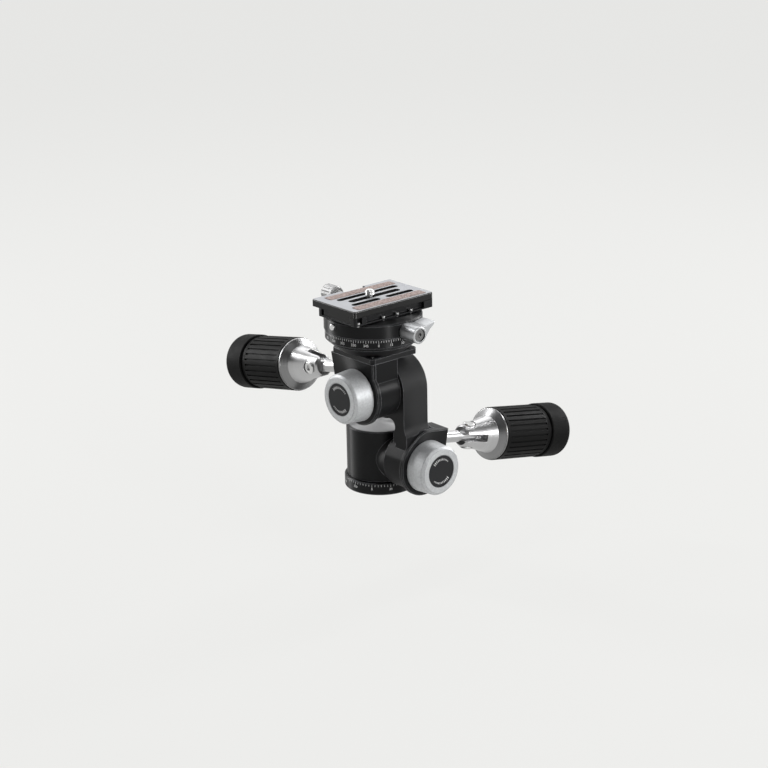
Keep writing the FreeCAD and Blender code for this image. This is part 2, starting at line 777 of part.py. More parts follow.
def release_button():
    y0 = PAN_Y - PLATFORM_R
    pin = cyl(2.2, (PAN_X - 1.4, y0 - 1.8, BUTTON_Z), Y, 5.2)
    collar = cyl(2.9, (PAN_X - 1.4, y0 + 2.1, BUTTON_Z), Y, 1.3)
    pin = round_edges(pin, 0.5, lambda e: e.CenterOfMass.y < y0 - 1.7)
    return fuse(pin, collar)


def button_spring():
    y0 = PAN_Y - PLATFORM_R
    ring = cyl(2.6, (PAN_X - 1.4, y0 + 3.5, BUTTON_Z), Y, 6.0)
    return cut(ring, cyl(1.7, (PAN_X - 1.4, y0 + 3, BUTTON_Z), Y, 9))


def platform_retainer():
    """Screw with a wide head that holds the platform down on the neck's post."""
    low = RETAINER_Z0 - 8.5
    seat = RETAINER_Z0
    body = turned([(low, 0), (low, 2.0), (seat, 2.0), (seat, 12.8), (seat + 1.6, 12.8), (seat + 1.6, 3.6),
                   (seat + 2.9, 3.6), (seat + 2.9, 0)], Z)
    return moved(body, PAN_X, PAN_Y, 0)


def pan_lever():
    """Round hub and wing that clamp the platform's pan."""
    x0 = PAN_X + PLATFORM_R + 0.2
    x1 = PAN_X + PLATFORM_R + LEVER_L
    recess = LEVER_SCREW_R + 0.7
    hub = turned([(x0, 2.5), (x0, LEVER_R), (x1 - 0.5, LEVER_R), (x1, LEVER_R - 0.5), (x1, recess),
                  (x1 - 2.2, recess), (x1 - 2.2, 2.5)], X)
    profile = [V(x0 + 1.0, y, z) for y, z in WING]
    wing = prism(profile, X * (x1 - x0 - 1.5))
    tip = max(y for y, z in WING)
    wing = round_edges(wing, 1.2, lambda e: e.Length < 1.5 and e.CenterOfMass.y > tip - 1)
    wing = cut(wing, cyl(LEVER_R - 0.5, (x0 - 1, 0, 0), X, 30))
    return moved(fuse(hub, wing), 0, PAN_Y, LEVER_Z)


def lever_screw():
    x1 = PAN_X + PLATFORM_R + LEVER_L
    x0 = PAN_X + POST_R + 0.2
    body = turned([(x0, 0), (x0, 2.5), (x1 - 2.2, 2.5), (x1 - 2.2, LEVER_SCREW_R),
                   (x1 - 0.6, LEVER_SCREW_R), (x1 - 0.6, 1.6), (x1 - 1.9, 1.6), (x1 - 1.9, 0)], X)
    return moved(body, 0, PAN_Y, LEVER_Z)


# clamp and camera plate


def plate_x0():
    return PAN_X - PLATE_W / 2


def plate_x1():
    return PAN_X + PLATE_W / 2


def plate_y0():
    return PAN_Y - PLATE_L / 2


def plate_y1():
    return PAN_Y + PLATE_L / 2


def foot_profile(spread, y):
    """Dovetail cross-section grown sideways by a spread."""
    top = PLATE_TOP - PLATE_T
    slope = (FOOT_TOP[0] - FOOT_BASE[0]) / (top - FOOT_Z)
    low = FOOT_Z - 2.0
    left_low = FOOT_BASE[0] - 2.0 * slope - spread
    right_low = FOOT_BASE[1] + 2.0 * slope + spread
    return [V(left_low, y, low), V(FOOT_TOP[0] - spread, y, top),
            V(FOOT_TOP[1] + spread, y, top), V(right_low, y, low)]


def clamp_base():
    y0 = plate_y0()
    y1 = plate_y1()
    top = PLATE_TOP - PLATE_T - 0.3
    body = box(CLAMP_X0, plate_x1(), y0, y1, CLAMP_LOW, top)
    body = chamfer_edges(body, 1.3, upright)
    body = fuse(body, cyl(PAD_R, (PAN_X, PAN_Y, DISC_TOP), Z, CLAMP_LOW - DISC_TOP + 0.5))
    channel = box(WALL_X, 20, y0 - 1, y1 + 1, FOOT_Z - 0.3, top + 1)
    dovetail = prism(foot_profile(0.05, y0 - 1), Y * (PLATE_L + 2))
    dovetail = dovetail.common(box(10, 40, y0 - 1, y1 + 1, FOOT_Z - 0.3, top + 1))
    recess = box(plate_x1() - LEDGE_W, plate_x1() + 1, y0 + 10, y1 - 8.5, LEDGE_TOP, top + 1)
    pocket = box(plate_x1() - LEDGE_W, plate_x1() + 1, y0 + 2.0, y0 + 6.2, LEDGE_TOP, top + 1)
    body = cut(body, channel, dovetail, recess, pocket)
    body = cut(body, cyl(CLAMP_SCREW_R + RUN, (CLAMP_X0 - 1, PAN_Y, CLAMP_Z), X, WALL_X - CLAMP_X0 + 2))
    shanks = [cyl(LEDGE_SHANK_R, (LEDGE_SCREW_X, y, CLAMP_LOW - 1), Z, 3) for y in foot_screw_ys()]
    body = cut(body, group(shanks))
    return cut(body, clamp_screw_holes())


def foot_screw_ys():
    return [PAN_Y - 30.3, PAN_Y - 8.9, PAN_Y + 3.1, PAN_Y + 15.1]


def foot_screws():
    """Four small cap screws that stand on the ledge beside the fixed jaw."""
    screws = []
    for y in foot_screw_ys():
        shank = cyl(LEDGE_SHANK_R, (LEDGE_SCREW_X, y, DISC_TOP + 0.5), Z, LEDGE_TOP - DISC_TOP - 0.5)
        head = cyl(1.3, (LEDGE_SCREW_X, y, LEDGE_TOP), Z, 1.3)
        screws.append(fuse(shank, head))
    return group(screws)


def clamp_screw_points():
    return [(PAN_X - 1.0, PAN_Y - 20.0), (PAN_X - 1.0, PAN_Y + 20.0)]


def clamp_screw_holes():
    holes = []
    for x, y in clamp_screw_points():
        holes.append(cyl(1.8, (x, y, DISC_TOP - 6), Z, 12))
        holes.append(cyl(3.0, (x, y, FOOT_Z - 1.6), Z, 3))
    return group(holes)


def clamp_screws():
    screws = []
    for x, y in clamp_screw_points():
        shank = cyl(1.8, (x, y, DISC_TOP - 5), Z, FOOT_Z - 1.6 - DISC_TOP + 5)
        head = cyl(2.9, (x, y, FOOT_Z - 1.6), Z, 1.3)
        screws.append(fuse(shank, head))
    return group(screws)


def jaw_x():
    return WALL_X + 0.2 + JAW_TRAVEL


def moving_jaw():
    y0 = plate_y0()
    low = FOOT_Z - 0.25
    top = PLATE_TOP - PLATE_T - 0.3
    body = box(jaw_x(), 20, y0 + 0.5, plate_y1() - 0.5, low, top)
    body = cut(body, prism(foot_profile(0.05, y0 - 1), Y * (PLATE_L + 2)))
    body = body.common(box(0, 14, -100, 100, low, top))
    well = cyl(CLAMP_SCREW_R + RUN, (jaw_x() - 1, PAN_Y, CLAMP_Z), X, 2.2)
    return cut(body, well)


def knob_x1():
    return plate_x0() - CLAMP_KNOB_OUT


def clamp_knob():
    x1 = knob_x1()
    x0 = x1 - 12.0
    neck = plate_x0() - 2.0
    rim = CLAMP_KNOB_R
    body = turned([(x0, 0), (x0, rim - 1.2), (x0 + 1.2, rim), (x1 - 0.8, rim), (x1, rim - 0.8), (x1, 3.4),
                   (neck, 2.4), (neck, CLAMP_SCREW_R), (x1 - 4, CLAMP_SCREW_R), (x1 - 4, 0)], X)
    flutes = [spun(cyl(1.3, (x0 - 1, 0, rim + 0.7), X, 10.5), ORIGIN, X, i * 36) for i in range(10)]
    return moved(body.cut(group(flutes)), 0, PAN_Y, CLAMP_Z)


def jaw_spindle():
    """Screw that draws the moving jaw."""
    x0 = knob_x1() - 4
    return cyl(CLAMP_SCREW_R, (x0, PAN_Y, CLAMP_Z), X, jaw_x() + 1.0 - x0)


def plate_slots():
    """Lengthwise slots: the centre one holds the screw's neck."""
    low = FOOT_Z - 1
    return [slot(SCREW_X, -37.4, 5.2, SLOT_NECK_R + 0.1, low), slot(8.6, -41.1, 9.8, 1.1, low),
            slot(23.8, -41.2, -18.6, 1.1, low), slot(23.8, -12.0, 10.2, 1.1, low)]


def slot(x, y0, y1, r, low):
    length = y1 - y0 - 2 * r
    body = box(x - r, x + r, y0 + r, y0 + r + length, low, PLATE_TOP + 1)
    return fuse(body, cyl(r, (x, y0 + r, low), Z, PLATE_TOP + 1 - low),
                cyl(r, (x, y1 - r, low), Z, PLATE_TOP + 1 - low))


def strip_box(x0, x1, y0, y1, z0, z1):
    body = box(x0, x1, y0, y1, z0, z1)
    return round_edges(body, 1.0, upright)


def camera_plate():
    y0 = plate_y0()
    y1 = plate_y1()
    slab = box(plate_x0(), plate_x1(), y0, y1, PLATE_TOP - PLATE_T, PLATE_TOP)
    slab = chamfer_edges(slab, 1.3, upright)
    slab = chamfer_edges(slab, 0.5, lambda e: e.CenterOfMass.z > PLATE_TOP - 0.01)
    foot = prism(foot_profile(0, y0), Y * PLATE_L)
    foot = foot.common(box(0, 60, y0, y1, FOOT_Z, PLATE_TOP))
    body = fuse(slab, foot)
    head = slot(SCREW_X, -31.0, -6.0, 5.0, FOOT_Z - 1)
    head = head.common(box(0, 60, -100, 100, 0, FOOT_Z + 2.7))
    notch = box(plate_x0() - 1, plate_x0() + 3.4, PAN_Y - 10, PAN_Y + 10, PLATE_TOP - 5.5, PLATE_TOP + 1)
    body = cut(body, group(plate_slots()), head, notch)
    for x0, x1, ya, yb in strip_spans():
        body = cut(body, strip_box(x0, x1, ya, yb, PLATE_TOP - 0.7, PLATE_TOP + 1))
    return body


def strip_spans():
    return [(-2.6, 4.6, -44.0, 12.8), (27.6, 35.2, -45.5, 13.0)]


def grip_strips():
    low = PLATE_TOP - 0.7
    return group([strip_box(x0 + 0.15, x1 - 0.15, ya + 0.15, yb - 0.15, low, PLATE_TOP + 0.3)
                  for x0, x1, ya, yb in strip_spans()])


def camera_screw():
    """Captive 1/4 inch screw with a coin-slotted head under the plate."""
    head_low = FOOT_Z + 0.3
    head_top = FOOT_Z + 2.5
    neck_top = PLATE_TOP + SCREW_NECK_TOP
    top = PLATE_TOP + SCREW_UP
    body = turned([(head_low, 0), (head_low, 4.2), (head_low + 0.4, 4.6), (head_top, 4.6),
                   (head_top, SLOT_NECK_R), (neck_top, SLOT_NECK_R), (neck_top, SCREW_R - 0.5),
                   (neck_top + 0.5, SCREW_R), (top - 0.6, SCREW_R), (top, SCREW_R - 0.6), (top, 0)], Z)
    coin = box(-8, 8, -0.8, 0.8, head_low - 1, head_low + 1.5)
    return moved(cut(body, coin), SCREW_X, SCREW_Y, 0)


def save_unit(letter, place, end, pin_turn, front):
    save("axle_" + letter, place(axle()))
    save("axle_bush_" + letter, place(axle_bush()))
    save("worm_wheel_" + letter, place(worm_wheel()))
    save("clutch_washer_" + letter, place(clutch_washer()))
    save("front_plate_" + letter, place(front))
    save("front_screws_" + letter, place(plate_screws()))
    save("worm_" + letter, place(worm(end, pin_turn)))
    save("worm_bushes_" + letter, place(worm_bushes(end)))
    save("friction_knob_" + letter, place(friction_knob()))
    save("knob_disc_" + letter, place(knob_disc()))
    save("handle_cone_" + letter, place(handle_cone(end, pin_turn)))
    save("handle_pin_" + letter, place(handle_pin(end, pin_turn)))
    save("grip_sleeve_" + letter, place(grip_sleeve(end)))
    save("grip_cap_" + letter, place(grip_cap(end)))


def save_base():
    save("base_flange", cut(base_flange(), retainer_screw_holes()))
    save("thread_insert", thread_insert())
    save("pan_washer", pan_washer())
    save("pan_retainer", pan_retainer())
    save("retainer_screws", retainer_screws())
    save("base_housing", base_housing())
    save("base_cap", base_cap())
    save("lock_knob", lock_knob())
    save("lock_screw", lock_screw())
    save("lock_pad", lock_pad())


def save_platform():
    save("top_plate", top_plate())
    save("top_screws", top_screws())
    save("neck_cone", neck_cone())
    save("scale_ring", scale_ring())
    save("pan_disc", pan_disc())
    save("platform_retainer", platform_retainer())
    save("pan_lever", pan_lever())
    save("lever_screw", lever_screw())
    save("release_button", release_button())
    save("button_spring", button_spring())


def save_clamp():
    save("clamp_base", clamp_base())
    save("clamp_screws", clamp_screws())
    save("foot_screws", foot_screws())
    save("moving_jaw", moving_jaw())
    save("clamp_knob", clamp_knob())
    save("jaw_spindle", jaw_spindle())
    save("camera_plate", camera_plate())
    save("grip_strips", grip_strips())
    save("camera_screw", camera_screw())


os.makedirs("parts", exist_ok=True)
save_base()
save("arm", arm())
save("arm_cap", arm_cap())
save_unit("b", place_b, BLOCK_END_B, 90, front_plate_b())
save("head_housing", cut(place_a(head_housing()), top_screw_holes()))
save_unit("a", place_a, BLOCK_END_A, 0, front_plate_a())
save_platform()
save_clamp()
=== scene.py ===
import json
import math

import bmesh
import bpy
from mathutils import Matrix, Vector


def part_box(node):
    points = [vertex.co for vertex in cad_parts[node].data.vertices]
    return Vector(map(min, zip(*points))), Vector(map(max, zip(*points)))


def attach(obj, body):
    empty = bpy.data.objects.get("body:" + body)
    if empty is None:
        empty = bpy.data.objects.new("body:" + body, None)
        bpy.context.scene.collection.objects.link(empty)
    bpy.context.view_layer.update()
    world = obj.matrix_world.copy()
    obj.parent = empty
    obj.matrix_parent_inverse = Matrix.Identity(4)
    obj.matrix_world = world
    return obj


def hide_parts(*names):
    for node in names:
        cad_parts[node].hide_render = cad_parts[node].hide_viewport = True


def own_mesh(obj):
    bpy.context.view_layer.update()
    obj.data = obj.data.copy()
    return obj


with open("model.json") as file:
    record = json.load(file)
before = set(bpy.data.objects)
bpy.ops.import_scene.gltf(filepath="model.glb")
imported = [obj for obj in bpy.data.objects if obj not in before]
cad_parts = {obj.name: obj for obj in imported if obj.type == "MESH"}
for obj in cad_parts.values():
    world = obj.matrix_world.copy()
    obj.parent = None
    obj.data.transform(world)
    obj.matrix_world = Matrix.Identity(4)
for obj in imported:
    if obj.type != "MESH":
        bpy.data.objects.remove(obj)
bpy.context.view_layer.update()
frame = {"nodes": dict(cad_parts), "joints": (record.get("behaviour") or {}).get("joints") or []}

# places: metres in the CAD's frame, with Z up

X = Vector((1, 0, 0))
Y = Vector((0, 1, 0))
Z = Vector((0, 0, 1))
JOINTS = {joint["name"]: joint for joint in frame["joints"]}


def turning_line(name):
    """Point and direction of a joint's axis at rest."""
    joint = JOINTS[name]
    return Vector(joint["pos_m"]), Vector(joint["axis"])


BASE_LINE = turning_line("base_pan")
UNIT_B_LINE = turning_line("roll_b")
UNIT_A_LINE = turning_line("pitch_a")
WORM_B_LINE = turning_line("worm_b_turn")
WORM_A_LINE = turning_line("worm_a_turn")
BASE = BASE_LINE[0]
UNIT_B = UNIT_B_LINE[0]
UNIT_A = UNIT_A_LINE[0]
SCREW = turning_line("camera_screw_turn")[0]
PAN = Vector((*turning_line("platform_pan")[0].xy, 0))
PAN_LINE = (PAN, Z)
PLATE_LOW, PLATE_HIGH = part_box("camera_plate")
PLATE_TOP = PLATE_HIGH.z
INCH = 0.0254


# node trees

EVEN = (0.3, 0.7)      # the middle of a noise, where most of its values lie
BROAD = (0.25, 0.75)
TIGHT = (0.35, 0.65)
ROUNDED = 0.995        # a softened normal against the true one: an edge starts to show
SHARP = 0.86           # and is fully painted: edge highlight and shade, and wear
BEVEL_SAMPLES = 4


class Tree:
    """Node tree of one material, with the shader ready."""

    def __init__(self, name):
        self.material = bpy.data.materials.new(name)
        self.material.use_nodes = True
        self.nodes = self.material.node_tree.nodes
        self.links = self.material.node_tree.links
        self.shader = self.nodes["Principled BSDF"]

    def add(self, kind, *inputs, **settings):
        """New node; each input is a number, a colour or an output to link, in socket order."""
        node = self.nodes.new("ShaderNode" + kind)
        for key, value in settings.items():
            setattr(node, key, value)
        for socket, value in zip([s for s in node.inputs if s.enabled], inputs):
            self.feed(socket, value)
        return node

    def feed(self, socket, value):
        """Links an output to a socket, or sets the socket to a number or a colour."""
        if isinstance(value, bpy.types.NodeSocket):
            self.links.new(value, socket)
        else:
            socket.default_value = value

    def math(self, operation, a, b=0.0):
        """Output of a maths node."""
        return self.add("Math", a, b, operation=operation).outputs[0]

    def vector(self, operation, a, b=(0, 0, 0)):
        """Output of a vector maths node: a number for a length or a dot product, otherwise a vector."""
        node = self.add("VectorMath", a, b, operation=operation)
        return node.outputs["Value" if operation in ("LENGTH", "DOT_PRODUCT") else "Vector"]

    def axis(self, vector, index):
        """One of the three numbers of a vector."""
        return self.add("SeparateXYZ", vector).outputs[index]

    def place(self):
        """Place on the object, in metres."""
        return self.add("TexCoord").outputs["Object"]

    def facing(self):
        """Direction that the surface faces, in the object's frame."""
        return self.add("TexCoord").outputs["Normal"]

    def noise(self, where, scale, detail=2.0, roughness=0.5):
        """Noise from 0 to 1; the scale is in features per metre."""
        node = self.add("TexNoise", where)
        node.inputs["Scale"].default_value = scale
        node.inputs["Detail"].default_value = detail
        node.inputs["Roughness"].default_value = roughness
        return node.outputs["Fac"]

    def span(self, value, window, low, high):
        """Stretches a window of a value over a new range, and clamps it there."""
        return self.add("MapRange", value, *window, low, high).outputs[0]

    def mix(self, factor, first, second):
        """Colour between two others."""
        node = self.add("Mix", data_type="RGBA")
        for name, value in (("Factor", factor), ("A", first), ("B", second)):
            self.feed([s for s in node.inputs if s.name == name and s.enabled][0], value)
        return [s for s in node.outputs if s.enabled][0]

    def bump(self, height, depth, normal=None):
        """Normal over a relief of a given depth in metres."""
        node = self.add("Bump")
        node.inputs["Strength"].default_value = 1.0
        node.inputs["Distance"].default_value = depth
        self.links.new(height, node.inputs["Height"])
        if normal:
            self.links.new(normal, node.inputs["Normal"])
        return node.outputs["Normal"]

    def scaled(self, colour, factor):
        """Colour made darker or paler by an output."""
        node = self.add("VectorMath", colour[:3], operation="SCALE")
        self.links.new(factor, node.inputs["Scale"])
        return node.outputs["Vector"]

    def softened(self, radius):
        """Normal rounded over the edges, and how well it agrees with the true one."""
        rounded = self.add("Bevel", radius, samples=BEVEL_SAMPLES).outputs[0]
        true = self.add("NewGeometry").outputs["Normal"]
        return rounded, self.vector("DOT_PRODUCT", rounded, true)

    def finish(self, colour, roughness, normal):
        """Links the three outputs that every finish has, and returns the material."""
        self.links.new(colour, self.shader.inputs["Base Color"])
        self.links.new(roughness, self.shader.inputs["Roughness"])
        self.links.new(normal, self.shader.inputs["Normal"])
        return self.material

    def set(self, socket, value):
        """Sets a value that is the same all over the surface."""
        self.shader.inputs[socket].default_value = value


def grey(level, tint=(1, 1, 1)):
    """Grey colour, a little tinted."""
    return (level * tint[0], level * tint[1], level * tint[2], 1)


# metals

TOOL_LINES = 3600      # tool marks, in features per metre
GLOSS_SWING = 0.08     # share by which the roughness drifts over a face
LINE_GLOSS = 0.04      # change of roughness from one tool line to the next
LINE_SHADE = 0.07      # share of brightness from one tool line to the next
COLLAR_EDGE = 0.0002   # width of the step to a collar painted darker, a painted dark reflection in its chamfer
COLLAR_PAINTED_SHADE = 0.5


def turned_place(tree, centre, axis):
    """Coordinates that run out from a turning axis and along it."""
    point = tree.vector("SUBTRACT", tree.place(), centre)
    along = tree.vector("DOT_PRODUCT", point, axis)
    across = tree.vector("LENGTH", tree.vector("CROSS_PRODUCT", point, axis))
    return tree.add("CombineXYZ", across, along, 0.0).outputs[0]


def brush_across(tree, centre, axis, amount):
    """Stretches the gloss across tool lines that run round an axis."""
    point = tree.vector("SUBTRACT", tree.place(), centre)
    lines = tree.vector("CROSS_PRODUCT", axis, point)
    across = tree.vector("CROSS_PRODUCT", tree.facing(), lines)
    tangent = tree.add("VectorTransform", across, vector_type="VECTOR",
                       convert_from="OBJECT", convert_to="WORLD")
    tree.links.new(tangent.outputs[0], tree.shader.inputs["Tangent"])
    tree.set("Anisotropic", amount)


def metal(name, colour, edge_colour, metallic, rough, turned=None, lines=0.3, grain=0.25, edge=0.00035,
          stretch=0.0, mottle=0.0, collar=None):
    """Machined metal: tool lines round an axis or a blasted grain, soft edges painted in their own colour as
    painted edge highlight and shade and as wear, and an uneven gloss.

    mottle is the strength of its blotches, and collar the radius beyond which a turned part is painted
    darker, a painted dark reflection.
    """
    tree = Tree(name)
    where = tree.place()
    rounded, agree = tree.softened(edge)
    patch = tree.noise(where, scale=90, detail=3)
    # edges painted in edge_colour: painted edge highlight and shade, and patchy wear
    edge_shading_and_wear = tree.span(agree, (ROUNDED, SHARP), 0.0, 1.0)
    edge_shading_and_wear = tree.math("MULTIPLY", edge_shading_and_wear, tree.span(patch, EVEN, 0.45, 1.0))
    height = tree.math("MULTIPLY", tree.noise(where, scale=9000), grain)
    gloss = tree.span(patch, BROAD, rough * (1 - GLOSS_SWING), rough * (1 + GLOSS_SWING))
    shade = tree.span(tree.noise(where, scale=45), EVEN, 0.95, 1.05)
    if mottle:
        blotches = tree.noise(where, scale=700, detail=4, roughness=0.65)
        shade = tree.math("MULTIPLY", shade, tree.span(blotches, EVEN, 1 - mottle, 1 + mottle))
    if turned:
        rings = tree.noise(turned_place(tree, *turned), scale=TOOL_LINES, detail=3, roughness=0.65)
        height = tree.math("ADD", height, tree.math("MULTIPLY", rings, lines))
        gloss = tree.math("ADD", gloss, tree.span(rings, TIGHT, -LINE_GLOSS, LINE_GLOSS))
        shade = tree.math("MULTIPLY", shade, tree.span(rings, TIGHT, 1 - LINE_SHADE, 1 + LINE_SHADE))
    if stretch and turned:
        brush_across(tree, *turned, stretch)
    # painted dark reflection: beyond the collar radius the colour is painted darker
    if collar:
        out = tree.axis(turned_place(tree, *turned), 0)
        darker = tree.span(out, (collar, collar + COLLAR_EDGE), 1.0, COLLAR_PAINTED_SHADE)
        shade = tree.math("MULTIPLY", shade, darker)
    tree.set("Metallic", metallic)
    return tree.finish(tree.mix(edge_shading_and_wear, tree.scaled(colour, shade), edge_colour), gloss,
                       tree.bump(height, depth=0.00002, normal=rounded))


def anodised(name, turned=None, level=0.004, rough=0.42, lines=0.6, edge=0.25, ior=1.28):
    """Black anodised aluminium, a little bluish, with edges painted paler: painted edge highlight, and wear.
    """
    face = grey(level, (0.95, 0.98, 1.1))
    # edge colour painted paler: painted edge highlight, and wear
    edge_shading_and_wear = grey(edge, (0.97, 0.99, 1.04))
    material = metal(name, face, edge_shading_and_wear, metallic=0.0, rough=rough, turned=turned, lines=lines, edge=0.0005,
                     stretch=0.95)
    material.node_tree.nodes["Principled BSDF"].inputs["IOR"].default_value = ior
    return material


def plate_top(name):
    """Anodised plate whose upward-facing top face is painted paler than its sides, a painted reflection of
    the light from above.
    """
    rim = 0.0016           # the painted bright edges, partly wear, lie this near the outline
    edge_shading_depth = 0.0042    # and this near the top
    tint = (0.98, 1, 1.05)
    tree = Tree(name)
    where = tree.place()
    height = tree.axis(where, 2)
    at_top = tree.span(height, (PLATE_TOP - 0.0006, PLATE_TOP - 0.0003), 0.0, 1.0)
    # painted reflection: where the top face faces up it is painted a paler patchy grey
    up = tree.math("MULTIPLY", tree.span(tree.axis(tree.facing(), 2), (0.8, 0.97), 0.0, 1.0), at_top)
    reach = tree.vector("ABSOLUTE", tree.vector("SUBTRACT", where, (PLATE_LOW + PLATE_HIGH) / 2))
    from_rim = tree.vector("SUBTRACT", (PLATE_HIGH - PLATE_LOW) / 2, reach)
    nearest = tree.math("MINIMUM", tree.axis(from_rim, 0), tree.axis(from_rim, 1))
    outer = tree.math("LESS_THAN", nearest, rim)
    upper = tree.math("GREATER_THAN", height, PLATE_TOP - edge_shading_depth)
    rounded, agree = tree.softened(0.0006)
    # edges near the top outline painted paler: painted edge highlight, and wear
    edge_shading_and_wear = tree.span(agree, (ROUNDED, SHARP), 0.0, 1.0)
    edge_shading_and_wear = tree.math("MULTIPLY", edge_shading_and_wear, tree.math("MULTIPLY", outer, upper))
    patch = tree.noise(where, scale=60, detail=3)
    top = tree.mix(patch, grey(0.3, tint), grey(0.4, tint))
    base = tree.mix(up, grey(0.006), top)
    tree.links.new(tree.math("MULTIPLY", up, 0.4), tree.shader.inputs["Metallic"])
    tree.set("IOR", 1.27)
    return tree.finish(tree.mix(edge_shading_and_wear, base, grey(0.45)), tree.span(patch, BROAD, 0.46, 0.56),
                       tree.bump(tree.noise(where, scale=7000), depth=0.00001, normal=rounded))


# rubber, plastic and paint


def rubber(name, level, rough):
    """Moulded rubber: fine matt grain with dust in it, and ridges painted paler as a painted highlight."""
    tree = Tree(name)
    where = tree.place()
    rounded, agree = tree.softened(0.0003)
    # ridges painted paler: painted highlight
    painted_ridge_highlight = tree.span(agree, (ROUNDED, 0.8), 0.0, 0.7)
    patch = tree.noise(where, scale=120, detail=4, roughness=0.6)
    grain = tree.noise(where, scale=3500, detail=3, roughness=0.7)
    dusty = tree.span(patch, (0.45, 0.75), 0.0, 1.0)
    dust = tree.math("MULTIPLY", dusty, tree.span(grain, (0.4, 0.7), 0.0, 1.0))
    base = tree.mix(dust, grey(level), grey(level * 1.8))
    tree.set("IOR", 1.2)
    tree.set("Specular IOR Level", 0.3)
    gloss = tree.span(patch, EVEN, rough - 0.06, rough + 0.06)
    return tree.finish(tree.mix(painted_ridge_highlight, base, grey(level * 2.4)), gloss,
                       tree.bump(grain, depth=0.00004, normal=rounded))


def cork_rubber(name):
    """Fine cork crumbs bound in brownish rubber."""
    tree = Tree(name)
    where = tree.place()
    cells = tree.add("TexVoronoi", where)
    cells.inputs["Scale"].default_value = 1500
    crumb = tree.add("SeparateColor", cells.outputs["Color"]).outputs[0]
    fine = tree.noise(where, scale=5000, detail=3, roughness=0.7)
    patch = tree.noise(where, scale=160, detail=3)
    tone = tree.math("ADD", tree.math("MULTIPLY", crumb, 0.6), tree.math("MULTIPLY", patch, 0.4))
    ramp = tree.add("ValToRGB", tone)
    dark, pale = ramp.color_ramp.elements
    dark.position = 0.1
    dark.color = (0.11, 0.08, 0.072, 1)
    pale.position = 0.85
    pale.color = (0.38, 0.3, 0.28, 1)
    ramp.color_ramp.elements.new(0.45).color = (0.24, 0.18, 0.163, 1)
    return tree.finish(ramp.outputs[0], tree.span(fine, EVEN, 0.72, 0.92),
                       tree.bump(tree.math("ADD", crumb, fine), depth=0.00006))


def plastic(name, level, rough):
    """Pale moulded plastic with a fine sparkle."""
    tree = Tree(name)
    where = tree.place()
    spark = tree.noise(where, scale=2600, detail=3, roughness=0.6)
    gloss = tree.span(tree.noise(where, scale=100), EVEN, rough - 0.05, rough + 0.05)
    colour = tree.mix(spark, grey(level * 0.8), grey(level * 1.25))
    return tree.finish(colour, gloss, tree.bump(spark, depth=0.00002))


def paint(name, level):
    """White paint filled into engraved marks, thin in places."""
    tree = Tree(name)
    wear = tree.noise(tree.place(), scale=1800, detail=3, roughness=0.6)
    colour = tree.mix(tree.span(wear, (0.35, 0.6), 0.0, 1.0), grey(level * 0.72), grey(level))
    return tree.finish(colour, tree.span(wear, EVEN, 0.5, 0.65), tree.bump(wear, depth=0.00002))


# finishes of the CAD's nodes


def dress(material, *nodes):
    """Gives CAD nodes a material in every slot."""
    for name in nodes:
        slots = frame["nodes"][name].data.materials
        if not slots:
            slots.append(material)
        for i in range(len(slots)):
            slots[i] = material


def dress_black():
    """The black anodised parts, and the paler plate."""
    dress(anodised("anodised_base", BASE_LINE), "base_flange", "base_housing")
    dress(anodised("anodised_cap", BASE_LINE, level=0.05, rough=0.34, lines=0.5, edge=0.3, ior=2.2),
          "base_cap")
    dress(anodised("anodised_unit_b", UNIT_B_LINE, lines=1.0), "arm", "front_plate_b")
    dress(anodised("anodised_unit_a", UNIT_A_LINE), "head_housing", "front_plate_a", "arm_cap")
    dress(anodised("anodised_flat", level=0.005, rough=0.4), "top_plate")
    dress(anodised("anodised_clamp", level=0.005, rough=0.4, edge=0.05), "clamp_base", "moving_jaw")
    dress(anodised("anodised_pan", PAN_LINE), "neck_cone", "scale_ring", "pan_disc", "platform_retainer")
    dress(anodised("knob_disc", level=0.008, rough=0.5, edge=0.1), "knob_disc_a", "knob_disc_b")
    dress(plate_top("plate_grey"), "camera_plate")


def dress_satin():
    """Knobs, cones, lever and pins of bare metal."""
    satin = grey(0.4, (0.98, 1.0, 1.02))
    bright = grey(0.7)
    cone = grey(0.46, (1.0, 1.0, 1.01))
    for unit, line, worm_line in (("a", UNIT_A_LINE, WORM_A_LINE), ("b", UNIT_B_LINE, WORM_B_LINE)):
        # the knobs' wide edge band is painted dark grey: painted shade on the front chamfer
        dress(metal("satin_knob_" + unit, satin, grey(0.16), metallic=0.6, rough=0.5, turned=line,
                    edge=0.0011, mottle=0.13),
              "friction_knob_" + unit)
        # the cones' collar is painted darker: a painted dark reflection in its chamfer
        dress(metal("cone_" + unit, cone, grey(0.6), metallic=1.0, rough=0.33, turned=worm_line, lines=0.05,
                    grain=0.03, stretch=0.3, collar=0.013),
              "handle_cone_" + unit, "worm_" + unit)
    dress(metal("lever_satin", satin, bright, metallic=0.95, rough=0.4, grain=0.5), "pan_lever", "lock_knob")
    dress(metal("clamp_satin", grey(0.28), grey(0.5), metallic=0.7, rough=0.5, grain=0.5), "clamp_knob")
    dress(metal("bright_pin", grey(0.6), bright, metallic=1.0, rough=0.32),
          "handle_pin_a", "handle_pin_b", "release_button")


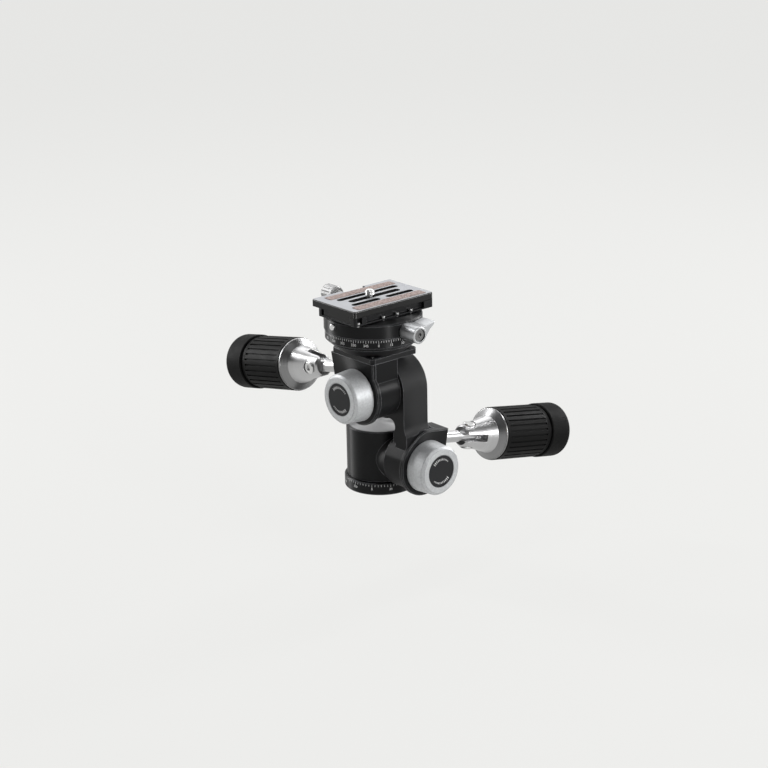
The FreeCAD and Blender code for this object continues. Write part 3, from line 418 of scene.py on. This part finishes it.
def dress_inner():
    """Steel, bronze and plastic, mostly inside."""
    dress(metal("steel", grey(0.55), grey(0.7), metallic=1.0, rough=0.3),
          "thread_insert", "clutch_washer_a", "clutch_washer_b", "axle_a", "axle_b", "foot_screws",
          "clamp_screws", "top_screws", "retainer_screws", "button_spring", "jaw_spindle", "lock_screw",
          "camera_screw")
    dress(metal("dark_screw", grey(0.16), grey(0.3), metallic=1.0, rough=0.35),
          "lever_screw", "front_screws_a", "front_screws_b")
    dress(metal("bronze", (0.5, 0.3, 0.12, 1), (0.7, 0.5, 0.25, 1), metallic=1.0, rough=0.35),
          "axle_bush_a", "axle_bush_b", "worm_bushes_a", "worm_bushes_b", "worm_wheel_a", "worm_wheel_b",
          "lock_pad")
    dress(plastic("slide_ring", level=0.7, rough=0.5), "pan_washer", "pan_retainer")


def dress_rubber():
    """Grips, and the plate's strips."""
    dress(rubber("grip_rubber", level=0.003, rough=0.5), "grip_sleeve_a", "grip_sleeve_b")
    dress(rubber("grip_cap_rubber", level=0.003, rough=0.58), "grip_cap_a", "grip_cap_b")
    dress(cork_rubber("cork_rubber"), "grip_strips")


dress_black()
dress_satin()
dress_inner()
dress_rubber()


# meshes


def mesh_from(name, bm):
    """Mesh of a finished bmesh, with its faces turned outward."""
    mesh = bpy.data.meshes.new(name)
    bmesh.ops.recalc_face_normals(bm, faces=bm.faces)
    bm.to_mesh(mesh)
    bm.free()
    return mesh


def mesh_piece(name, bm, material, body):
    """Piece that rides on a body."""
    piece = bpy.data.objects.new(name, mesh_from(name, bm))
    bpy.context.collection.objects.link(piece)
    piece.data.materials.append(material)
    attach(piece, body)
    return piece


def ring_wall(bm, inner, outer):
    """Faces between two closed rings of vertices."""
    for k in range(len(inner)):
        after = (k + 1) % len(inner)
        bm.faces.new((inner[k], inner[after], outer[after], outer[k]))


def finish_of(node):
    """Material that a CAD node has been dressed in."""
    return frame["nodes"][node].data.materials[0]


# marks

PAINT = paint("mark_paint", level=0.6)
DIGIT_HEIGHT = 0.72    # of a text's size
DIGIT_RELIEF = 0.00005
MARK_ROOT = -0.0001    # a flat mark's foot, in the surface
MARK_PROUD = 0.00003


def number_mesh(text, size):
    """Outline of a number, centred and a little thick."""
    curve = bpy.data.curves.new("number", "FONT")
    curve.body = text
    curve.size = size
    curve.align_x = "CENTER"
    curve.extrude = DIGIT_RELIEF
    curve.resolution_u = 3
    item = bpy.data.objects.new("number", curve)
    mesh = bpy.data.meshes.new_from_object(item)
    bpy.data.objects.remove(item)
    return mesh


def add_number(bm, text, size, foot, place):
    """Adds a number that stands on a foot line, sent through a function that places each vertex."""
    mesh = number_mesh(text, size)
    verts = [bm.verts.new(place(v.co.x, foot + v.co.y, v.co.z)) for v in mesh.vertices]
    for face in mesh.polygons:
        bm.faces.new([verts[k] for k in face.vertices])
    bpy.data.meshes.remove(mesh)


def bar(bm, place, low, high):
    """Box between two corners, sent through a function that places each vertex."""
    across, along, out = zip(low, high)
    v = [bm.verts.new(place(x, y, z)) for x in across for y in along for z in out]
    for face in ((0, 1, 3, 2), (4, 6, 7, 5), (0, 4, 5, 1), (2, 3, 7, 6), (0, 2, 6, 4), (1, 5, 7, 3)):
        bm.faces.new([v[i] for i in face])


def wrapped(centre, radius, angle):
    """Sends flat x, y, z onto a drum: x runs round it, y up it and z out of it."""
    def place(x, y, z):
        turn = angle + x / radius
        out = radius + z
        return Vector((centre.x + out * math.cos(turn), centre.y + out * math.sin(turn), y))
    return place


def on_face(centre, across, up, out):
    """Sends flat x, y, z onto a plane through a centre: z runs out of it."""
    def place(x, y, z):
        return centre + across * x + up * y + out * z
    return place


def drum_scale(name, body, centre, radius, top, first, step, tick_step, size):
    """Ticks and numbers round a drum; the first number's angle and both steps are in degrees."""
    half = 0.00011
    long_tick = 0.0021
    short_tick = 0.0014
    root = -0.0002
    proud = 0.00002
    drop = 0.0024          # from the ticks' top to the numbers' top
    foot = top - drop - size * DIGIT_HEIGHT
    bm = bmesh.new()
    for i in range(round(360 / tick_step)):
        place = wrapped(centre, radius, math.radians(first + i * tick_step))
        length = short_tick if i % round(step / tick_step) else long_tick
        bar(bm, place, (-half, top - length, root), (half, top, proud))
    for i in range(round(360 / step)):
        add_number(bm, str(step * i), size, foot, wrapped(centre, radius, math.radians(first + i * step)))
    mesh_piece(name, bm, PAINT, body)


def scales():
    """Degree scales of the platform and of the base."""
    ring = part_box("scale_ring")[1]
    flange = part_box("base_flange")[1]
    ring_top = ring.z - 0.00045
    flange_top = 0.0076
    drum_scale("platform_scale", "platform", PAN, radius=ring.x - PAN.x, top=ring_top, first=-34.2,
               step=15, tick_step=3, size=0.0024)
    drum_scale("base_scale", "base", BASE, radius=flange.x, top=flange_top, first=-55,
               step=30, tick_step=5, size=0.0023)


def dial_marks(name, body, centre, across, up, out):
    """Two arcs of short marks on a knob's disc, as for more and less friction."""
    marks = 11
    spacing = 9            # degrees
    radius = 0.0083
    half = 0.00022
    shortest = 0.0008
    growth = 0.0012
    bm = bmesh.new()
    for side in (90, 270):
        for i in range(marks):
            angle = math.radians(side + (i - (marks - 1) / 2) * spacing)
            radial = across * math.cos(angle) + up * math.sin(angle)
            around = up * math.cos(angle) - across * math.sin(angle)
            length = shortest + growth * i / (marks - 1)
            place = on_face(centre + radial * radius, around, radial, out)
            bar(bm, place, (-half, -length / 2, MARK_ROOT), (half, length / 2, MARK_PROUD))
    mesh_piece(name, bm, PAINT, body)


def dials():
    """Marks on the outer faces of both discs."""
    face_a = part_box("knob_disc_a")[0].y
    face_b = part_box("knob_disc_b")[1].x
    dial_marks("dial_marks_a", "clutch_a", Vector((UNIT_A.x, face_a, UNIT_A.z)), X, Z, -Y)
    dial_marks("dial_marks_b", "clutch_b", Vector((face_b, UNIT_B.y, UNIT_B.z)), Y, Z, X)


def index_mark():
    """White line on the corner of the top plate, read against the platform's scale."""
    inset = 0.0016
    half = 0.0002
    start = 0.0004
    end = 0.0034
    low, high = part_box("top_plate")
    corner = Vector((high.x - inset, low.y + inset, high.z))
    place = on_face(corner, (X + Y).normalized(), (Y - X).normalized(), Z)
    bm = bmesh.new()
    bar(bm, place, (-half, start, MARK_ROOT), (half, end, MARK_PROUD))
    mesh_piece("index_mark", bm, PAINT, "pitch_body")


scales()
dials()
index_mark()


# camera plate

# each slot's middle, its two ends, and half its groove's width
SLOTS = (
    (SCREW.x, -0.0374, 0.0052, 0.0027),
    (0.0086, -0.0411, 0.0098, 0.0023),
    (0.0238, -0.0412, -0.0186, 0.0023),
    (0.0238, -0.0120, 0.0102, 0.0023),
)
GROOVE_DEPTH = 0.0014
GROOVE_REACH = 0.0005  # past each end of a slot
CUT_ABOVE = 0.001      # by which the cutter stands above the plate
END_STEP = 15          # degrees, round a groove's end


def groove_mesh(centre_x, y0, y1, half):
    """Solid of a round-ended groove in the plate's top."""
    outline = []
    for end_y, start in ((y1 - half, 0), (y0 + half, 180)):
        for step in range(0, 181, END_STEP):
            angle = math.radians(start + step)
            outline.append((centre_x + half * math.cos(angle), end_y + half * math.sin(angle)))
    bm = bmesh.new()
    low = [bm.verts.new((x, y, PLATE_TOP - GROOVE_DEPTH)) for x, y in outline]
    high = [bm.verts.new((x, y, PLATE_TOP + CUT_ABOVE)) for x, y in outline]
    ring_wall(bm, low, high)
    bm.faces.new(low)
    bm.faces.new(high)
    return mesh_from("groove", bm)


def cut_away(piece, solid):
    """Cuts a solid out of a piece for good."""
    cutter = bpy.data.objects.new("cutter", solid)
    bpy.context.collection.objects.link(cutter)
    cut = piece.modifiers.new("cut", "BOOLEAN")
    cut.object = cutter
    cut.operation = "DIFFERENCE"
    cut.solver = "EXACT"
    bpy.context.view_layer.update()
    seen = piece.evaluated_get(bpy.context.evaluated_depsgraph_get())
    mesh = bpy.data.meshes.new_from_object(seen)
    piece.modifiers.clear()
    piece.data = mesh
    bpy.data.objects.remove(cutter)


def grooved_plate():
    """The camera plate with a wide shallow groove along each of its slots."""
    finish = finish_of("camera_plate")
    plate = bpy.data.objects.new("grooved_plate", frame["nodes"]["camera_plate"].data.copy())
    bpy.context.collection.objects.link(plate)
    for centre_x, y0, y1, half in SLOTS:
        cut_away(plate, groove_mesh(centre_x, y0 - GROOVE_REACH, y1 + GROOVE_REACH, half))
    plate.data.materials.clear()
    plate.data.materials.append(finish)
    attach(plate, "plate")
    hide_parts("camera_plate")


grooved_plate()


# threads

THREAD_SIDES = 48
THREAD_FLAT = 0.2      # share of a turn that the crest and the root take together
THREAD_FADE = 0.5      # turns over which the ridge grows at each end


def thread_depth(turns):
    """Height of a V thread, 0 to 1, at a place counted in turns."""
    part = abs(2 * (turns - math.floor(turns)) - 1)
    return min(1, max(0, (part - THREAD_FLAT / 2) / (1 - THREAD_FLAT)))


def thread_rows(low, high, root, crest, pitch, per_turn):
    """Rows of (height, radii) up a thread that runs in and out at its ends."""
    rows = []
    count = round((high - low) / pitch * per_turn)
    for i in range(count + 1):
        z = low + (high - low) * i / count
        fade = min(1, (z - low) / (THREAD_FADE * pitch), (high - z) / (THREAD_FADE * pitch))
        radii = [root + (crest - root) * fade * thread_depth(z / pitch - k / THREAD_SIDES)
                 for k in range(THREAD_SIDES)]
        rows.append((z, radii))
    return rows


def plain_row(z, radius):
    """Row of one radius all round."""
    return z, [radius] * THREAD_SIDES


def skin(bm, centre, rows):
    """Wall through rows of (height, radii); returns its rings of vertices."""
    rings = []
    for z, radii in rows:
        ring = []
        for k, radius in enumerate(radii):
            turn = 2 * math.pi * k / THREAD_SIDES
            x = centre.x + radius * math.cos(turn)
            y = centre.y + radius * math.sin(turn)
            ring.append(bm.verts.new((x, y, z)))
        rings.append(ring)
    for lower, upper in zip(rings, rings[1:]):
        ring_wall(bm, lower, upper)
    return rings


def camera_thread():
    """The 1/4 inch camera screw: head, bare neck, and 20 threads to the inch."""
    low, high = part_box("camera_screw")
    head_radius = 0.0046
    head_top = low.z + 0.0022
    bevel = 0.0004
    neck_radius = 0.002
    neck_top = PLATE_TOP + 0.001
    tip_radius = 0.0021
    rows = [plain_row(low.z, head_radius - bevel), plain_row(low.z + bevel, head_radius),
            plain_row(head_top, head_radius), plain_row(head_top + 0.00002, neck_radius),
            plain_row(neck_top, neck_radius)]
    rows += thread_rows(neck_top + 0.0002, high.z - 0.0003, root=0.00255, crest=INCH / 8, pitch=INCH / 20,
                        per_turn=10)
    rows.append(plain_row(high.z, tip_radius))
    bm = bmesh.new()
    rings = skin(bm, SCREW, rows)
    bm.faces.new(rings[0])
    bm.faces.new(rings[-1])
    piece = mesh_piece("camera_thread", bm, finish_of("camera_screw"), "thumb_screw")
    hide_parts("camera_screw")


def tripod_thread():
    """Ridges of the 3/8 inch thread, 16 to the inch, inside the insert."""
    low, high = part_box("thread_insert")
    inset = 0.0003
    wall = 0.0049
    rows = thread_rows(low.z + inset, high.z - inset, root=0.00475, crest=0.0042, pitch=INCH / 16,
                       per_turn=8)
    backing = [plain_row(rows[-1][0], wall), plain_row(rows[0][0], wall)]
    bm = bmesh.new()
    rings = skin(bm, BASE, rows + backing)
    ring_wall(bm, rings[-1], rings[0])
    mesh_piece("tripod_thread", bm, finish_of("thread_insert"), "base")


camera_thread()
tripod_thread()


# spring


def button_coil():
    """Wire spring behind the release button."""
    low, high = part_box("button_spring")
    wire = 0.0004
    turns = 4.5
    per_turn = 24
    around = 8
    mean = (high.x - low.x) / 2 - wire
    count = round(turns * per_turn)
    angles = [2 * math.pi * k / around for k in range(around)]
    bm = bmesh.new()
    rings = []
    for i in range(count + 1):
        turn = 2 * math.pi * i / per_turn
        radial = Vector((math.cos(turn), 0, math.sin(turn)))
        along = low.y + wire + (high.y - low.y - 2 * wire) * i / count
        middle = Vector(((low.x + high.x) / 2, along, (low.z + high.z) / 2)) + radial * mean
        section = [radial * wire * math.cos(a) + Y * wire * math.sin(a) for a in angles]
        rings.append([bm.verts.new(middle + offset) for offset in section])
    for first, second in zip(rings, rings[1:]):
        ring_wall(bm, first, second)
    bm.faces.new(rings[0])
    bm.faces.new(rings[-1])
    piece = mesh_piece("button_coil", bm, finish_of("button_spring"), "platform")
    piece.data.shade_smooth()
    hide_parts("button_spring")
    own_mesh(piece)


button_coil()


# floor and world

PALE = (0.83, 0.83, 0.8155, 1)
FLOOR_Z = -0.062       # the grips clear it when the head is tilted on its tripod
FLOOR_R = 6.0
SWEEP_R = 3.0          # radius of the swept-up rim
SHOWN = 0.95           # share of the floor that shows its own colour, whatever light falls on it
WORLD = (0.83, 0.83, 0.83, 1)
WORLD_STRENGTH = 0.12


def shown_pale(tree, shader, colour, share):
    """Shows a colour to the camera, mirrors and glass, and leaves the light on the object alone."""
    path = tree.add("LightPath")
    seen = tree.math("MAXIMUM", path.outputs["Is Camera Ray"], path.outputs["Is Glossy Ray"])
    seen = tree.math("MAXIMUM", seen, path.outputs["Is Transmission Ray"])
    glow = tree.add("Emission", colour, 1.0)
    mix = tree.add("MixShader", tree.math("MULTIPLY", seen, share), shader, glow.outputs[0])
    return mix.outputs[0]


def floor_material():
    """Matt pale floor, which keeps a soft shadow."""
    tree = Tree("floor")
    tree.set("Base Color", PALE)
    tree.set("Roughness", 0.9)
    surface = shown_pale(tree, tree.shader.outputs[0], PALE, SHOWN)
    tree.links.new(surface, tree.nodes["Material Output"].inputs["Surface"])
    return tree.material


def floor_stage():
    """Round floor whose rim sweeps up into a backdrop."""
    turns = [math.radians(angle) for angle in range(0, 360, 5)]
    bm = bmesh.new()
    rings = []
    for angle in range(0, 91, 15):
        rise = math.radians(angle)
        radius = FLOOR_R + SWEEP_R * math.sin(rise)
        z = FLOOR_Z + SWEEP_R * (1 - math.cos(rise))
        rings.append([bm.verts.new((radius * math.cos(t), radius * math.sin(t), z)) for t in turns])
    bm.faces.new(rings[0])
    for inner, outer in zip(rings, rings[1:]):
        ring_wall(bm, outer, inner)
    mesh = bpy.data.meshes.new("floor")
    bm.to_mesh(mesh)
    bm.free()
    mesh.shade_smooth()
    mesh.materials.append(floor_material())
    floor = bpy.data.objects.new("floor", mesh)
    bpy.context.collection.objects.link(floor)


def world_light():
    """Even grey light from all round."""
    world = bpy.data.worlds.new("studio")
    bpy.context.scene.world = world
    world.use_nodes = True
    background = world.node_tree.nodes["Background"]
    background.inputs["Color"].default_value = WORLD
    background.inputs["Strength"].default_value = WORLD_STRENGTH


floor_stage()
world_light()


# lamps and camera

TARGET = Vector((0, 0, 0.0714))
AZIMUTH = math.radians(49.7)
ELEVATION = math.radians(18.7)
ROLL = math.radians(-1.2)
DISTANCE = 1.4
FRAME_WIDTH = 768      # of the photograph, in pixels
SHIFT_X = 4.96         # pixels
SHIFT_Y = 0.8
SIDE = Vector((math.cos(AZIMUTH), math.sin(AZIMUTH), 0))
BACK = Vector((math.sin(AZIMUTH), -math.cos(AZIMUTH), 0))

# name, place (right, up and back as the camera sees it, from the target), width and height, watts
LAMPS = (
    ("strip_left", (-1.0, 0.45, -0.47), (0.12, 0.9), 15),
    ("softbox_front", (0.63, 0.5, 0.9), (0.12, 0.9), 9),
    ("softbox_right", (1.08, 0.25, 0.23), (0.5, 0.3), 6),
    ("rim", (0.87, 0.5, -0.68), (0.12, 0.9), 10),
    ("softbox_top", (0.0, 1.2, 0.15), (0.5, 0.5), 3),
    ("softbox_back", (-0.1, 0.9, -1.15), (1.6, 0.8), 11),
)


def add_lamp(name, place, size, power):
    """Soft rectangular lamp that looks at the target."""
    data = bpy.data.lights.new(name, "AREA")
    data.shape = "RECTANGLE"
    data.size, data.size_y = size
    data.energy = power
    lamp = bpy.data.objects.new(name, data)
    right, up, back = place
    lamp.location = TARGET + SIDE * right + Z * up + BACK * back
    lamp.rotation_euler = (TARGET - lamp.location).to_track_quat("-Z", "Y").to_euler()
    bpy.context.collection.objects.link(lamp)


def add_camera():
    """Camera at the photograph's viewing angle."""
    data = bpy.data.cameras.new("camera")
    data.sensor_width = 36
    data.lens = 96.0
    data.shift_x = SHIFT_X / FRAME_WIDTH
    data.shift_y = SHIFT_Y / FRAME_WIDTH
    data.clip_start = 0.01
    data.clip_end = 100
    camera = bpy.data.objects.new("camera", data)
    away = BACK * math.cos(ELEVATION) + Z * math.sin(ELEVATION)
    turn = away.to_track_quat("Z", "Y") @ Matrix.Rotation(ROLL, 4, "Z").to_quaternion()
    camera.rotation_mode = "QUATERNION"
    camera.rotation_quaternion = turn
    camera.location = TARGET + away * DISTANCE
    bpy.context.collection.objects.link(camera)
    bpy.context.scene.camera = camera


for lamp in LAMPS:
    add_lamp(*lamp)
add_camera()
bpy.context.scene.view_settings.view_transform = "Standard"
